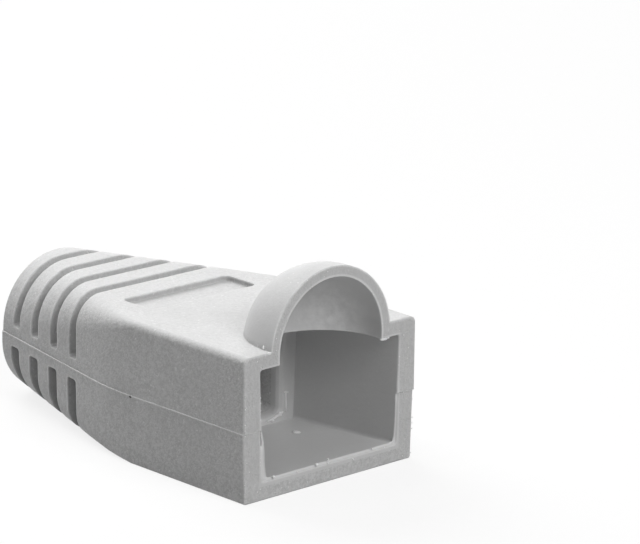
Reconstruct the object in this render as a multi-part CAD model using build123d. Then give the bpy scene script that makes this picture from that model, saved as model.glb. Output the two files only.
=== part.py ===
from build123d import *
import math
import os

os.makedirs("parts", exist_ok=True)

# One soft moulding: a rectangular sleeve that grips the plug, a latch dome over its mouth,
# and a ringed tail that closes round the cable. X across, Y from the mouth to the cable end,
# Z up from the flat underside. The mouth faces -Y. Millimetres.

# Outside
width = 14.5             # at the mouth
height = 9.45
length = 27.3
straight = 10.8          # from the mouth to where the long edges start to round off
swell = 0.17             # how far each side stands out there, beyond its place at the mouth
taper_from = 13.05       # where the sleeve's side line and the tail's side line would cross
taper_blend = 0.9        # how softly they turn into each other
ring_radius = 4.7        # the end ring
edge_radius = 0.45       # upper long edges at the mouth
lower_edge_radius = 0.15
lower_ring_corner = 3.9  # the lower mould half stays a little square at the end ring
parting = 4.58           # height of the plane where the mould halves meet
mismatch = 0.09          # sideways shift between the mould halves
lower_inset = 0.03       # how far each side of the lower half stands in at the parting plane
lower_draft = 0.13       # what it loses further down, towards the underside
mouth_edge = 0.08        # worn edge round the mouth's rim
end_edge = 0.2           # softened edge of the end ring
blend_steps = 6          # sections that carry the side through its turn
blend_reach = 3.0        # how far past the turn they go

# Tail
slots = 4
slot_start = 17.03
slot_pitch = 2.58
slot_width = 0.98        # above the parting plane
lower_slot_width = 1.15
slot_corner = 0.15       # cut corner at each slot's closed end
bridge = 0.68            # half the height of the side webs that cross the slots
core_radius = 3.65       # the tube inside the rings
bore_radius = 3.1

# Plug cavity
cavity_width = 11.8      # under the ceiling, at the mouth
cavity_draft = 0.26      # how much each wall stands in at the floor
cavity_floor = 1.3
roof = 1.0               # the wall over the cavity
cavity_depth = 8.7
cavity_back_loss = 0.85  # how far each wall has closed in at the back
cavity_back_drop = 0.3   # the floor is this much lower at the back
cavity_corner = 0.2
throat_width = 7.0       # the opening in the cavity's back
throat_height = 6.2
throat_corner = 0.4
throat_end = 15.6        # where it has become the round bore
lip_radius = 0.6         # rounding of the throat's edge
lip_rise = 0.5           # share of that rounding above and below the throat
lip_steps = 4
mouth_bevel = 0.06
lower_mouth_bevel = 0.16
mouth_reach = 0.5        # how far the cutters stand out of the mouth

# Latch dome
dome_sink = 0.47         # how far the dome's centre lies under the top
dome_outer = 5.03
dome_inner = 4.32
dome_straight = 0.7

# Bare recess on the top
recess_width = 8.9
recess_length = 3.1
recess_middle = 13.32
recess_shift = -0.15
recess_corner = 0.5
recess_depth = 0.38
recess_fillet = 0.1      # round its floor

sliver = 0.1             # shortest straight left between two roundings

cavity_ceiling = height - roof
dome_centre = height - dome_sink


def tail_share(y):
    return max(0.0, (y - straight) / (length - straight))


def half_width(y):
    slope = (width / 2 - ring_radius) / (length - taper_from)
    past = y - taper_from
    standing_out = swell * min(1.0, y / straight) * (1 - tail_share(y))
    return width / 2 + standing_out - slope * 0.5 * (past + math.hypot(past, taper_blend))


def facing_mouth(y, z=0.0):
    return Plane(origin=(0, y, z), x_dir=(1, 0, 0), z_dir=(0, -1, 0))


def along(y, z):
    return Plane(origin=(0, y, z), z_dir=(0, 1, 0))


def rod(radius, y, z, run):
    return along(y, z) * Cylinder(radius, run, align=(Align.CENTER, Align.CENTER, Align.MIN))


def half_section(y, upper, inset):
    share = tail_share(y)
    side = half_width(y) - inset
    if upper:
        far = height + (2 * ring_radius - height) * share - inset
        foot = side
        corner = edge_radius + (ring_radius - edge_radius) * share
    else:
        far = inset
        side -= lower_inset * (1 - share)
        foot = side - lower_draft * (1 - share)
        corner = lower_edge_radius + (lower_ring_corner - lower_edge_radius) * share
    corner = min(corner, abs(far - parting) - sliver, side - sliver)
    outline = Polygon((-side, parting), (side, parting), (foot, far), (-foot, far), align=None)
    ends = [v for v in outline.vertices() if abs(v.Y - far) < sliver / 2]
    return facing_mouth(y) * fillet(ends, corner)


def half_shell(upper):
    blend_end = min(taper_from + blend_reach, slot_start)
    stations = [(0.0, mouth_edge), (mouth_edge, 0.0)]
    stations += [(straight + (blend_end - straight) * i / blend_steps, 0.0) for i in range(blend_steps + 1)]
    stations += [(length - end_edge, 0.0), (length, end_edge)]
    return loft([half_section(y, upper, inset) for y, inset in stations], ruled=True)


def above(z, reach):
    return Pos(0, -mouth_reach, z) * Box(
        4 * reach, 4 * reach, 2 * reach, align=(Align.CENTER, Align.MIN, Align.MIN))


def dome():
    solid = Pos(0, dome_straight, dome_centre) * Sphere(dome_outer)
    barrel = rod(dome_outer, 0, dome_centre, dome_straight)
    front = Box(4 * dome_outer, 4 * dome_outer, 4 * dome_outer, align=(Align.CENTER, Align.MIN, Align.CENTER))
    return (solid & Pos(0, dome_straight, dome_centre) * front & above(dome_centre, dome_outer)) + (
        barrel & above(dome_centre, dome_outer))


def pocket():
    reach = mouth_reach + dome_straight
    outline = Pos(0, dome_straight) * Circle(dome_inner) + Pos(0, dome_straight) * Rectangle(
        2 * dome_inner, reach, align=(Align.CENTER, Align.MAX))
    keep = Pos(0, -mouth_reach) * Rectangle(
        4 * dome_inner, 4 * dome_inner, align=(Align.CENTER, Align.MIN))
    foot = cavity_ceiling - cavity_corner
    well = Pos(0, 0, foot) * extrude(outline & keep, dome_centre - foot)
    ball = Pos(0, dome_straight, dome_centre) * Sphere(dome_inner)
    hollow = ball + rod(dome_inner, -mouth_reach, dome_centre, reach)
    return well + (hollow & above(dome_centre, dome_inner))


def cavity_section(y, upper, grow):
    share = y / cavity_depth
    floor = cavity_floor - cavity_back_drop * share
    lean = cavity_draft / (cavity_ceiling - floor)
    ceiling_side = cavity_width / 2 - cavity_back_loss * share + grow
    side = ceiling_side - lean * (cavity_ceiling - parting)
    far = cavity_ceiling + grow if upper else floor - grow
    foot = ceiling_side if upper else ceiling_side - cavity_draft
    outline = Polygon((-side, parting), (side, parting), (foot, far), (-foot, far), align=None)
    ends = [v for v in outline.vertices() if abs(v.Y - far) < sliver / 2]
    return facing_mouth(y) * fillet(ends, cavity_corner)


def cavity_half(upper):
    bevel = mouth_bevel if upper else lower_mouth_bevel
    stations = [(-mouth_reach, bevel + mouth_reach), (bevel, 0.0), (cavity_depth, 0.0)]
    return loft([cavity_section(y, upper, grow) for y, grow in stations], ruled=True)


def throat_section(y, grow):
    return facing_mouth(y, ring_radius) * RectangleRounded(
        throat_width + 2 * grow, throat_height + 2 * lip_rise * grow, throat_corner + lip_rise * grow)


def throat():
    turns = [math.radians(90 * i / lip_steps) for i in range(lip_steps + 1)]
    stations = [(cavity_depth - sliver, lip_radius)]
    for turn in turns:
        stations.append((cavity_depth + lip_radius * (1 - math.cos(turn)), lip_radius * (1 - math.sin(turn))))
    mouth = loft([throat_section(y, grow) for y, grow in stations], ruled=True)
    round_end = facing_mouth(throat_end, ring_radius) * Circle(bore_radius)
    funnel = loft([throat_section(*stations[-1]), round_end], ruled=True)
    bore = rod(bore_radius, throat_end, ring_radius, length - throat_end + mouth_reach)
    return mouth + funnel + bore


def slot_cutter(index, upper):
    start = slot_start + index * slot_pitch
    gap = slot_width if upper else lower_slot_width
    block = Box(2 * width, gap, height, align=(Align.CENTER, Align.MIN, Align.MIN))
    block = chamfer(block.edges().filter_by(Axis.X).group_by(Axis.Z)[0], slot_corner)
    if upper:
        block = Pos(0, start, parting + bridge) * block
    else:
        block = Pos(0, start, parting - bridge) * mirror(block, Plane.XY)
    return block - rod(core_radius, start - gap, ring_radius, 3 * gap)


def recess():
    outline = Pos(recess_shift, recess_middle) * RectangleRounded(recess_width, recess_length, recess_corner)
    well = Pos(0, 0, height - recess_depth) * extrude(outline, 2 * recess_depth)
    return fillet(well.edges().group_by(Axis.Z)[0], recess_fillet)


def boot():
    upper = Pos(mismatch / 2, 0, 0) * half_shell(True)
    lower = Pos(-mismatch / 2, 0, 0) * half_shell(False)
    cavity = cavity_half(True) + cavity_half(False)
    shape = upper + lower + dome() - cavity - pocket() - throat() - recess()
    for index in range(slots):
        shape = shape - slot_cutter(index, True) - slot_cutter(index, False)
    return Pos(0, -length / 2, 0) * shape.solid()


body = boot()
body.label = "boot"
export_step(body, "parts/boot.step")
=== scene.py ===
import math
import random

import bmesh
import bpy
from mathutils import Matrix, Vector


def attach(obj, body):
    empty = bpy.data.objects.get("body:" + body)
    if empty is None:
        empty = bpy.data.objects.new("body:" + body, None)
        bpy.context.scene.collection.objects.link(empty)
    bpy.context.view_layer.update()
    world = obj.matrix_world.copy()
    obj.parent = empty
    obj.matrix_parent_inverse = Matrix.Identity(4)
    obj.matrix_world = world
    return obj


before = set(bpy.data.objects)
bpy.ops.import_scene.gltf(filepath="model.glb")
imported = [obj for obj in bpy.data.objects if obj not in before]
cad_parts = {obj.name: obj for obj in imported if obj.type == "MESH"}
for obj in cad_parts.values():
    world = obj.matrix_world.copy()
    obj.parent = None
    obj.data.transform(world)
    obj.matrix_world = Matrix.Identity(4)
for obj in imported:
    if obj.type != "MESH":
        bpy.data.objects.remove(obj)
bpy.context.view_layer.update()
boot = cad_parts["boot"]
scene = bpy.context.scene
MM = 0.001

# Places on the part, in millimetres
MOUTH = -13.65
TAIL_END = 13.65
PARTING = 4.58           # height where the mould halves meet
SHOULDER = -4.95         # the cavity's back
CORE_END = -4.2          # just behind it
CAVITY_SIDE = 5.95       # just inside each cavity wall
CAVITY_FOOT = 0.9        # just under the cavity's floor
CAVITY_TOP = 8.6         # just over its ceiling
DOME_CENTRE = 8.98
DOME_START = -12.95      # where the dome begins to close
DOME_INNER = 4.32
DOME_OUTER = 5.03
BOWL_MARGIN = 0.15       # how far into the dome's wall its inner surface is counted
# centre of the painted glow in the dome's bowl
BOWL_GLOW_CENTRE = (3.1, -10.2, 9.7)
CREVICE_SHADE_FROM = -3.0         # no painted crevice shade between here and the mouth

# Camera, fitted to the edges of the boot in the photograph
CAMERA_PLACE = (-0.150994, -0.175483, 0.076582)
CAMERA_RIGHT = (0.735706, -0.677202, 0.011538)
CAMERA_UP = (0.177088, 0.208774, 0.961797)
CAMERA_LOOK = (0.653740, 0.705557, -0.273521)
LENS = 209.572
SENSOR = 36


def make_camera():
    data = bpy.data.cameras.new("camera")
    data.lens = LENS
    data.sensor_width = SENSOR
    data.sensor_fit = "HORIZONTAL"
    data.clip_start = 0.01
    data.clip_end = 10
    camera = bpy.data.objects.new("camera", data)
    scene.collection.objects.link(camera)
    back = -Vector(CAMERA_LOOK)
    turn = Matrix((CAMERA_RIGHT, CAMERA_UP, back)).transposed().to_4x4()
    camera.matrix_world = Matrix.Translation(CAMERA_PLACE) @ turn
    scene.camera = camera


# Materials

class Nodes:
    """The node tree of a material or world, with short ways to add and join nodes."""

    def __init__(self, owner):
        owner.use_nodes = True
        self.owner = owner
        self.tree = owner.node_tree
        self.tree.nodes.clear()

    def add(self, kind, inputs=None, **settings):
        node = self.tree.nodes.new(kind)
        for key, value in settings.items():
            setattr(node, key, value)
        for key, value in (inputs or {}).items():
            self.put(node.inputs[key], value)
        return node

    def put(self, socket, value):
        if isinstance(value, bpy.types.NodeSocket):
            self.tree.links.new(value, socket)
        else:
            socket.default_value = value

    def math(self, operation, first, second=0.0, third=0.0):
        node = self.add("ShaderNodeMath", operation=operation)
        for socket, value in zip(node.inputs, (first, second, third)):
            self.put(socket, value)
        return node.outputs[0]

    def ramp(self, value, low, high, to_low=0.0, to_high=1.0):
        """Runs from to_low where value is low to to_high where it is high."""
        node = self.add(
            "ShaderNodeMapRange",
            {"Value": value, "From Min": low, "From Max": high, "To Min": to_low, "To Max": to_high},
            clamp=True,
        )
        return node.outputs["Result"]

    def noise(self, place, scale, detail=2.0, roughness=0.5):
        node = self.add(
            "ShaderNodeTexNoise",
            {"Vector": place, "Scale": scale, "Detail": detail, "Roughness": roughness},
        )
        return node.outputs["Fac"]

    def openness(self, reach, inside):
        """Falls from 1 in a crevice within reach, or inside the solid at an outer edge."""
        node = self.add(
            "ShaderNodeAmbientOcclusion",
            {"Distance": reach * MM},
            samples=8,
            inside=inside,
            only_local=True,
        )
        return node.outputs["AO"]

    def mix(self, share, first, second):
        node = self.add("ShaderNodeMix", data_type="RGBA")
        self.put(node.inputs["Factor"], share)
        self.put(node.inputs[6], first)
        self.put(node.inputs[7], second)
        return node.outputs[2]

    def shown(self):
        """1 for the rays that show a surface, and 0 for those that only carry light."""
        path = self.add("ShaderNodeLightPath")
        seen = path.outputs["Is Camera Ray"]
        for ray in ("Is Glossy Ray", "Is Transmission Ray"):
            seen = self.math("MAXIMUM", seen, path.outputs[ray])
        return seen

    def surface(self, shader):
        """Gives the material with this shader as its surface."""
        self.add("ShaderNodeOutputMaterial", {"Surface": shader.outputs[0]})
        return self.owner


def grey(value):
    return (value, value, value, 1)


# Noises of the vinyl, as (scale per millimetre, detail, roughness)
PORES = (8.0, 2.0, 0.6)
GRAIN = (3.6, 3.0, 0.7)
MOTTLE = (0.9, 3.0, 0.55)
CLOUD = (0.2, 1.0, 0.5)
FLECKS = (5.0, 0.0, 0.5)
STREAKS = (1.5, 3.0, 0.6)

# How strong its grain is
GRAIN_BASE = 0.4
GRAIN_BELOW_DOME = 0.6   # added up to the height of the flat top
GRAIN_ON_SIDES = 1.1     # added there on the sides
GRAIN_ON_RIM = 0.8       # added on the mouth's rim
CORE_POLISH = 0.83       # share taken off where the core shaped the surface

# Its reaches, in millimetres
EDGE_BEVEL = 0.1
CREVICE_REACH = 0.6
BUMP_DEPTH = 0.055
SCATTER_REACH = 0.6

# grey of the painted shade in crevices and recesses
CREVICE_SHADE_GREY = 0.2
# how much paler the painted light makes the dome's outside
DOME_LIGHT_PALER = 0.05


def cored(n, x, y, z):
    """1 on the surfaces that the polished core shaped, inside the plug cavity and the dome."""
    across = n.math("ABSOLUTE", x)
    box = n.math("LESS_THAN", across, CAVITY_SIDE)
    box = n.math("MULTIPLY", box, n.math("LESS_THAN", z, CAVITY_TOP))
    box = n.math("MULTIPLY", box, n.math("GREATER_THAN", z, CAVITY_FOOT))
    rise = n.math("SUBTRACT", z, DOME_CENTRE)
    depth = n.math("MAXIMUM", n.math("SUBTRACT", y, DOME_START), 0.0)
    reach = n.math("MULTIPLY", across, across)
    for step in (rise, depth):
        reach = n.math("MULTIPLY_ADD", step, step, reach)
    bowl = n.math("LESS_THAN", reach, (DOME_INNER + BOWL_MARGIN) ** 2)
    return n.math("MULTIPLY", n.math("MAXIMUM", box, bowl), n.math("LESS_THAN", y, CORE_END))


def soft_plastic(name, dark, light, fleck_and_highlight_tone, edge_reach=0.16):
    """Soft moulded vinyl: a fine leathery grain and faint mottling, with painted highlights on outer
    edges, painted shade in crevices and on the mouth's rim, and painted light on the dome and inside.
    """
    n = Nodes(bpy.data.materials.new(name))
    geometry = n.add("ShaderNodeNewGeometry")
    scaled = n.add(
        "ShaderNodeVectorMath",
        {0: geometry.outputs["Position"], "Scale": 1 / MM},
        operation="SCALE",
    )
    place = scaled.outputs[0]
    x, y, z = n.add("ShaderNodeSeparateXYZ", {0: place}).outputs
    facing_x, _, facing_z = n.add("ShaderNodeSeparateXYZ", {0: geometry.outputs["Normal"]}).outputs
    grain = n.noise(place, *GRAIN)
    mottle = n.noise(place, *MOTTLE)

    # Where on the boot
    core = cored(n, x, y, z)
    rim = n.math("LESS_THAN", y, MOUTH + 0.05)
    below_dome = n.ramp(z, 9.8, 9.5)
    side = n.math("MULTIPLY", n.ramp(n.math("ABSOLUTE", facing_x), 0.6, 0.9), below_dome)
    # Painted light: the dome's outside above the flat top paler, most towards its foot
    dome_painted_light = n.math("SUBTRACT", 1.0, n.math("MAXIMUM", below_dome, rim))
    dome_painted_light = n.math("MULTIPLY", n.ramp(z, 13.4, 10.4), dome_painted_light)
    # Painted shade: the mouth's rim darker, less so near its bottom edge
    rim_painted_shade = n.math("MULTIPLY", rim, n.ramp(z, 0.8, 2.0, 0.0, 0.5))

    # Grain
    strength = n.math("MULTIPLY_ADD", rim, GRAIN_ON_RIM, GRAIN_BASE)
    strength = n.math("MULTIPLY_ADD", below_dome, GRAIN_BELOW_DOME, strength)
    strength = n.math("MULTIPLY_ADD", side, GRAIN_ON_SIDES, strength)
    strength = n.math("MULTIPLY", strength, n.math("MULTIPLY_ADD", core, -CORE_POLISH, 1.0))
    pores = n.noise(place, *PORES)
    speckle = n.math("ADD", n.math("MULTIPLY", grain, 0.6), n.math("MULTIPLY", pores, 0.4))
    speckle = n.math("MULTIPLY_ADD", n.math("SUBTRACT", speckle, 0.5), strength, 0.5)

    # Painted shade in crevices, painted highlights on outer edges, and a painted glow in the dome
    # Painted shade: darker where ambient occlusion finds a crevice or recess, behind the mouth's end
    crevice = n.openness(CREVICE_REACH, inside=False)
    crevice_painted_shade = n.ramp(crevice, 0.9, 0.65, 0.0, 0.26)
    crevice_painted_shade = n.math("MULTIPLY", crevice_painted_shade, n.math("GREATER_THAN", y, CREVICE_SHADE_FROM))
    # Painted highlight: outer edges lighter, less so on faces that look up
    edge = n.openness(edge_reach, inside=True)
    edge_painted_highlight = n.ramp(edge, 0.93, 0.60)
    edge_painted_highlight = n.math("MULTIPLY", edge_painted_highlight, n.ramp(mottle, 0.35, 0.6, 0.55, 1.0))
    edge_painted_highlight = n.math("MULTIPLY", edge_painted_highlight, n.ramp(facing_z, 0.6, 0.95, 1.0, 0.15))
    # Painted light: a streaky glow on the dome's polished bowl, strongest around its centre
    near = n.add("ShaderNodeVectorMath", {0: place, 1: BOWL_GLOW_CENTRE}, operation="DISTANCE")
    bowl_painted_glow = n.ramp(near.outputs["Value"], 2.8, 0.6)
    bowl_painted_glow = n.math("MULTIPLY", bowl_painted_glow, n.ramp(n.noise(place, *STREAKS), 0.37, 0.63, 0.35, 1.0))
    bowl_painted_glow = n.math("MULTIPLY", bowl_painted_glow, core)

    tone = n.mix(n.ramp(speckle, 0.36, 0.64), grey(dark), grey(light))
    layers = [
        (n.ramp(mottle, 0.35, 0.65, 0.0, 0.35), light),
        (n.ramp(n.noise(place, *CLOUD), 0.35, 0.65, 0.0, 0.25), dark),
        (n.ramp(n.noise(place, *FLECKS), 0.76, 0.80, 0.0, 0.5), fleck_and_highlight_tone),
        (dome_painted_light, light + DOME_LIGHT_PALER),
        (rim_painted_shade, dark),
        # Painted light: the surfaces inside the cavity and the bowl lighter
        (n.math("MULTIPLY", core, 0.8), light),
        (bowl_painted_glow, fleck_and_highlight_tone),
        (crevice_painted_shade, CREVICE_SHADE_GREY),
        (edge_painted_highlight, fleck_and_highlight_tone),
    ]
    for share, value in layers:
        tone = n.mix(share, tone, grey(value))

    bevel = n.add("ShaderNodeBevel", {"Radius": EDGE_BEVEL * MM}, samples=6)
    height = n.math("MULTIPLY_ADD", mottle, 0.5, speckle)
    bump = n.add(
        "ShaderNodeBump",
        {"Strength": 0.8, "Distance": BUMP_DEPTH * MM, "Height": height, "Normal": bevel.outputs[0]},
    )
    roughness = n.ramp(grain, 0.3, 0.7, 0.55, 0.68)
    shader = n.add(
        "ShaderNodeBsdfPrincipled",
        {
            "Base Color": tone,
            "Roughness": n.math("MULTIPLY_ADD", core, -0.22, roughness),
            "Normal": bump.outputs[0],
            "IOR": 1.5,
            "Subsurface Weight": 0.15,
            "Subsurface Radius": (1.0, 1.0, 1.0),
            "Subsurface Scale": SCATTER_REACH * MM,
        },
    )
    return n.surface(shader)


def dark_speck():
    n = Nodes(bpy.data.materials.new("dark_speck"))
    geometry = n.add("ShaderNodeNewGeometry")
    dust = n.noise(geometry.outputs["Position"], 30000.0)
    tone = n.mix(dust, grey(0.05), grey(0.12))
    return n.surface(n.add("ShaderNodeBsdfPrincipled", {"Base Color": tone, "Roughness": 0.8}))


def floor_paper():
    """Pale paper that shows almost white, but throws less light back on the object."""
    n = Nodes(bpy.data.materials.new("floor_paper"))
    geometry = n.add("ShaderNodeNewGeometry")
    fibre = n.noise(geometry.outputs["Position"], 900.0, detail=3.0)
    seen = n.shown()
    lighting = n.mix(fibre, grey(0.47), grey(0.51))
    showing = n.mix(fibre, grey(0.93), grey(0.97))
    tone = n.mix(seen, lighting, showing)
    paper = n.add("ShaderNodeBsdfPrincipled", {"Base Color": tone, "Roughness": 0.9})
    white = n.add("ShaderNodeEmission", {"Color": grey(1.0), "Strength": 1.0})
    share = n.math("MULTIPLY", seen, 0.82)
    blend = n.add("ShaderNodeMixShader", {0: share, 1: paper.outputs[0], 2: white.outputs[0]})
    return n.surface(blend)


# Mould marks: thin flash and specks that the moulding leaves, in millimetres

SEED = 20
TUBE_SIDES = 6
OUTSIDE = 20.0           # further out than any side of the boot
STEP_BACK = 1.2          # how far before a mark its ray along the view starts

# Flash along the parting line
BEAD_FRONT = MOUTH + 0.12
BEAD_BACK = TAIL_END - 0.3
BEAD_STEPS = 110
BEAD_RADIUS = 0.045
BEAD_SINK = 0.01
RIM_BEAD = [(7.22, 0.0, 0.02), (6.6, 0.01, 0.035), (5.9, 0.0, 0.02)]  # x, rise, radius

# Free edge of the thin flash inside the mouth, as (x, z, reach): down the left wall, along the
# floor and up the right wall. Where reach is short, a slit stays open between flash and wall.
WALL = 9.0
LIP_EDGE = [
    (-5.74, 4.50, 0.04), (-5.67, 4.40, 0.08), (-5.59, 4.10, 0.12), (-5.53, 3.80, 0.15),
    (-5.49, 3.55, 0.19), (-5.46, 3.42, WALL), (-5.42, 3.10, WALL), (-5.41, 2.64, WALL),
    (-5.38, 2.19, WALL), (-5.33, 1.74, WALL), (-5.29, 1.45, WALL), (-5.10, 1.37, WALL),
    (-4.2, 1.35, WALL), (-3.0, 1.37, WALL), (-1.8, 1.35, WALL), (-0.6, 1.38, WALL),
    (0.6, 1.36, WALL), (1.8, 1.38, WALL), (3.0, 1.36, WALL), (4.2, 1.38, WALL),
    (5.2, 1.37, WALL), (5.50, 1.45, WALL), (5.60, 1.8, WALL), (5.66, 2.6, WALL),
    (5.70, 3.6, WALL), (5.73, 4.5, WALL),
]
LIP_FRONT = 0.09
LIP_THICKNESS = 0.08
LIP_SIDE = 5.25          # further out than this, it grows from a side wall
LIP_CORNER = 1.6         # lower than this, it grows from the floor as well
LIP_FOOT = 1.0

# Rim of the mouth, where crumbs lie
CRUMBS = 70
RIM_INNER = 5.86
RIM_OUTER = 7.12
RIM_FLOOR = 1.22

# Specks on the mouth's edge, as (x, z, radius)
SPECKS = [
    (-4.76, 1.36, 0.13), (-1.15, 1.36, 0.12), (-0.2, 1.50, 0.09),
    (1.95, 1.02, 0.09), (3.6, 1.36, 0.07),
]

# Flash on the shoulder beside the throat: beads of (x, z, radius), and lumps as (x, z, radii)
THROAT_BEADS = [
    [(4.11, 1.55, 0.05), (4.11, 2.0, 0.09), (4.11, 2.5, 0.07), (4.11, 2.9, 0.06)],
    [(3.83, 2.93, 0.03), (4.1, 2.9, 0.07), (4.36, 2.86, 0.03)],
    [(2.4, 1.22, 0.03), (2.95, 1.30, 0.08), (3.3, 1.42, 0.08), (3.62, 1.50, 0.12), (3.9, 1.62, 0.04)],
]
THROAT_LUMPS = [(3.6, 1.5, (0.18, 0.12, 0.16)), (2.975, 1.2, (0.13, 0.09, 0.09))]

# Flash on the dome's front: one bead of (x, y, z, radius), and lumps as (place, radii)
DOME_BEAD = [(-5.03, -12.93, 9.40, 0.07), (-5.05, -12.93, 9.55, 0.06), (-5.04, -12.93, 9.74, 0.02)]
DOME_LUMPS = [
    ((-5.17, -13.6, 9.40), (0.16, 0.10, 0.09)),
    ((4.42, -13.58, 8.42), (0.17, 0.12, 0.10)),
    ((4.66, -13.58, 8.40), (0.15, 0.12, 0.09)),
    ((4.9, -13.6, 8.43), (0.11, 0.09, 0.07)),
]

# One nub on the cavity's floor, and one dark speck on the left side
NUB_PLACE = (2.8, -7.45, 1.08)
NUB_RADII = (0.27, 0.36, 0.05)
SPECK_Y = -3.05
SPECK_Z = 4.53
SPECK_RADII = (0.05, 0.11, 0.09)


def add_piece(name, points, faces, material):
    mesh = bpy.data.meshes.new(name)
    mesh.from_pydata([Vector(p) * MM for p in points], [], faces)
    mesh.update()
    mesh.materials.append(material)
    for face in mesh.polygons:
        face.use_smooth = True
    piece = bpy.data.objects.new(name, mesh)
    scene.collection.objects.link(piece)
    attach(piece, "root")


def tube(path, radii):
    """A closed tapering tube through the points of path."""
    points, faces = [], []
    last = len(path) - 1
    for i, (centre, radius) in enumerate(zip(path, radii)):
        along = (Vector(path[min(i + 1, last)]) - Vector(path[max(i - 1, 0)])).normalized()
        across = along.orthogonal().normalized()
        other = along.cross(across)
        for k in range(TUBE_SIDES):
            angle = 2 * math.pi * k / TUBE_SIDES
            points.append(Vector(centre) + (across * math.cos(angle) + other * math.sin(angle)) * radius)
    for i in range(last):
        for k in range(TUBE_SIDES):
            here = i * TUBE_SIDES + k
            there = i * TUBE_SIDES + (k + 1) % TUBE_SIDES
            faces.append((here, there, there + TUBE_SIDES, here + TUBE_SIDES))
    faces.append(tuple(reversed(range(TUBE_SIDES))))
    faces.append(tuple(last * TUBE_SIDES + k for k in range(TUBE_SIDES)))
    return points, faces


def joined(parts):
    points, faces = [], []
    for more_points, more_faces in parts:
        start = len(points)
        points += more_points
        faces += [tuple(start + k for k in face) for face in more_faces]
    return points, faces


def lump(centre, radii, rng, rough=0.18, fine=2):
    """A small uneven closed blob."""
    made = bmesh.new()
    bmesh.ops.create_icosphere(made, subdivisions=fine, radius=1.0)
    points = []
    for vertex in made.verts:
        swell = 1 + rng.uniform(-rough, rough)
        points.append(Vector(centre) + Vector(c * r * swell for c, r in zip(vertex.co, radii)))
    faces = [tuple(v.index for v in face.verts) for face in made.faces]
    made.free()
    return points, faces


def side_at(y, z, sign):
    """Where the boot's outer side lies, found by a ray from outside."""
    start = Vector((sign * OUTSIDE, y, z)) * MM
    hit, place, _, _ = boot.ray_cast(start, Vector((-sign, 0, 0)))
    return place.x / MM if hit else None


def settled(point):
    """Where a ray along the view through this point meets the boot."""
    look = Vector(CAMERA_LOOK)
    start = Vector(point) * MM - look * STEP_BACK * MM
    hit, place, _, _ = boot.ray_cast(start, look)
    return place / MM if hit else Vector(point)


def parting_bead(sign, rng):
    """The flash along one side, thinner towards the mouth."""
    path, radii = [], []
    for i in range(BEAD_STEPS + 1):
        y = BEAD_FRONT + (BEAD_BACK - BEAD_FRONT) * i / BEAD_STEPS
        x = max((side_at(y, PARTING + dz, sign) for dz in (-0.03, 0.03)), key=abs)
        path.append((x - sign * BEAD_SINK, y, PARTING + rng.uniform(-0.006, 0.006)))
        thinner = min(1.0, 0.45 + (y - MOUTH) / 6)
        radii.append((BEAD_RADIUS + rng.uniform(-0.012, 0.016)) * thinner)
    return tube(path, radii)


def rim_bead(sign):
    path = [(sign * x, MOUTH, PARTING + rise) for x, rise, _ in RIM_BEAD]
    return tube(path, [radius for _, _, radius in RIM_BEAD])


def shoulder_bead(bead):
    path = [settled((x, SHOULDER, z)) for x, z, _ in bead]
    return tube(path, [radius for _, _, radius in bead])


def lip_root(x, z, reach):
    """The point that the flash grows from, in the wall or short of it."""
    if abs(x) > LIP_SIDE:
        root = x + math.copysign(min(reach, CAVITY_SIDE - abs(x)), x)
        return (root, z if z > LIP_CORNER else LIP_FOOT)
    return (x, LIP_FOOT)


def mouth_lip(rng):
    points, faces = [], []
    for x, z, reach in LIP_EDGE:
        x += rng.uniform(-0.012, 0.012)
        z += rng.uniform(-0.012, 0.012)
        root_x, root_z = lip_root(x, z, reach)
        front = MOUTH + LIP_FRONT + rng.uniform(-0.01, 0.01)
        back = front + LIP_THICKNESS
        points += [(x, front, z), (x, back, z), (root_x, back, root_z), (root_x, front, root_z)]
    last = len(LIP_EDGE) - 1
    for i in range(last):
        for k in range(4):
            here = 4 * i + k
            there = 4 * i + (k + 1) % 4
            faces.append((here, here + 4, there + 4, there))
    faces.append((0, 1, 2, 3))
    faces.append(tuple(reversed(range(4 * last, 4 * last + 4))))
    return points, faces


def rim_crumbs(rng):
    """Tiny crumbs of flash scattered over the mouth's rim and the dome's front edge."""
    crumbs = []
    for _ in range(CRUMBS):
        kind = rng.choice(("left", "left", "right", "bottom", "dome", "dome"))
        if kind == "dome":
            angle = math.radians(rng.uniform(3, 177))
            between = rng.uniform(DOME_INNER, DOME_OUTER)
            radius = rng.choice((DOME_INNER + 0.04, DOME_OUTER - 0.04, between))
            x = radius * math.cos(angle)
            z = DOME_CENTRE + radius * math.sin(angle)
        elif kind == "bottom":
            x = rng.uniform(-6.8, 6.8)
            z = rng.choice((rng.uniform(0.2, 1.2), RIM_FLOOR))
        else:
            across = rng.choice((RIM_INNER, rng.uniform(5.9, 7.1), RIM_OUTER))
            x = math.copysign(across, -1 if kind == "left" else 1)
            z = rng.uniform(0.3, 9.2)
        size = rng.uniform(0.025, 0.06)
        crumbs.append(lump((x, MOUTH + 0.01, z), (size, 0.03, size), rng, rough=0.3, fine=1))
    return crumbs


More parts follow.
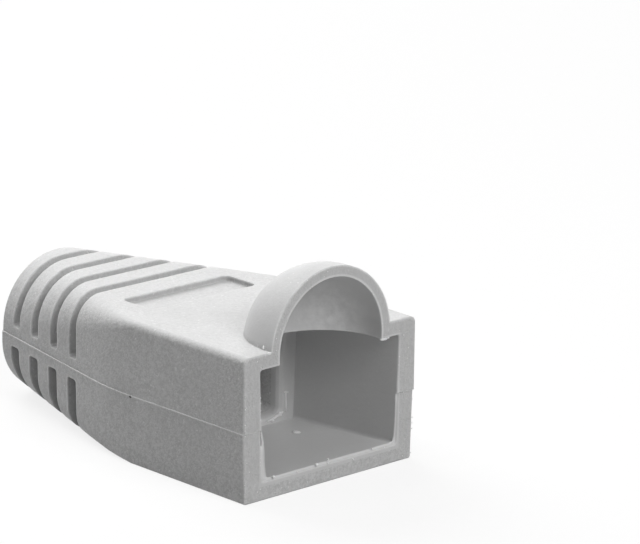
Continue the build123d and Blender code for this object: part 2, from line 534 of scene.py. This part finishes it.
def make_marks():
    rng = random.Random(SEED)
    # The thin flash is paler than the boot, partly as painted light so its fine beads show as light
    # lines
    vinyl = soft_plastic("thin_flash_vinyl", 0.64, 0.74, 0.86, edge_reach=0.05)
    # Painted glints: the small lumps, specks and crumbs of flash are near white so they show as glints
    pale = soft_plastic("pale_flash_painted_glint", 0.86, 0.94, 0.96, edge_reach=0.05)

    for side, sign in (("left", -1), ("right", 1)):
        add_piece(f"parting_flash_{side}", *parting_bead(sign, rng), vinyl)
    add_piece("parting_flash_rim", *joined([rim_bead(sign) for sign in (-1, 1)]), vinyl)
    add_piece("mouth_lip", *mouth_lip(rng), vinyl)

    specks = [lump((x, MOUTH - 0.01, z), (r, 0.09, r * 0.85), rng) for x, z, r in SPECKS]
    add_piece("mouth_specks", *joined(specks), pale)
    add_piece("rim_crumbs", *joined(rim_crumbs(rng)), pale)
    add_piece("floor_nub", *lump(settled(NUB_PLACE), NUB_RADII, rng, rough=0.05), pale)

    throat = [shoulder_bead(bead) for bead in THROAT_BEADS]
    throat += [lump(settled((x, SHOULDER, z)), radii, rng) for x, z, radii in THROAT_LUMPS]
    add_piece("throat_flash", *joined(throat), pale)

    dome = [tube([place for *place, _ in DOME_BEAD], [radius for *_, radius in DOME_BEAD])]
    dome += [lump(place, radii, rng) for place, radii in DOME_LUMPS]
    add_piece("dome_flash", *joined(dome), pale)

    speck = (side_at(SPECK_Y, SPECK_Z, -1) - 0.01, SPECK_Y, SPECK_Z)
    add_piece("dark_speck", *lump(speck, SPECK_RADII, rng), dark_speck())


# Studio, in metres and watts

FLOOR_SIZE = 3.0
LAMPS_AIM = (0, 0, 0.006)
LAMPS = [
    ("back", (0.03, 0.38, 0.33), 0.35, 1.85),
    ("top", (-0.03, 0.0, 0.15), 0.08, 0.067),
    ("low_back", (0.28, 0.33, 0.13), 0.2, 0.35),
    ("front", (0.0, -0.38, 0.32), 0.25, 1.22),
    ("mouth", (0.12, -0.42, 0.16), 0.2, 0.10),
    ("fill", (-0.25, -0.33, 0.28), 0.2, 0.09),
]


def make_floor():
    mesh = bpy.data.meshes.new("floor")
    half = FLOOR_SIZE / 2
    corners = [(-half, -half, 0), (half, -half, 0), (half, half, 0), (-half, half, 0)]
    mesh.from_pydata(corners, [], [(0, 1, 2, 3)])
    mesh.materials.append(floor_paper())
    floor = bpy.data.objects.new("floor", mesh)
    scene.collection.objects.link(floor)


def make_world():
    """White where it shows, with no light of its own on the object."""
    n = Nodes(bpy.data.worlds.new("studio"))
    unlit = n.add("ShaderNodeBackground", {"Color": grey(1.0), "Strength": 0.0})
    white = n.add("ShaderNodeBackground", {"Color": grey(1.0), "Strength": 1.0})
    blend = n.add("ShaderNodeMixShader", {0: n.shown(), 1: unlit.outputs[0], 2: white.outputs[0]})
    n.add("ShaderNodeOutputWorld", {"Surface": blend.outputs[0]})
    scene.world = n.owner


def make_lights():
    for name, place, size, power in LAMPS:
        data = bpy.data.lights.new(name, "AREA")
        data.shape = "SQUARE"
        data.size = size
        data.energy = power
        lamp = bpy.data.objects.new(name, data)
        scene.collection.objects.link(lamp)
        lamp.location = place
        lamp.rotation_mode = "QUATERNION"
        lamp.rotation_quaternion = (Vector(LAMPS_AIM) - Vector(place)).to_track_quat("-Z", "Y")


make_camera()
boot.data.materials.clear()
boot.data.materials.append(soft_plastic("soft_grey_vinyl", 0.50, 0.64, 0.82))
make_marks()
make_floor()
make_world()
make_lights()

scene.view_settings.view_transform = "Standard"
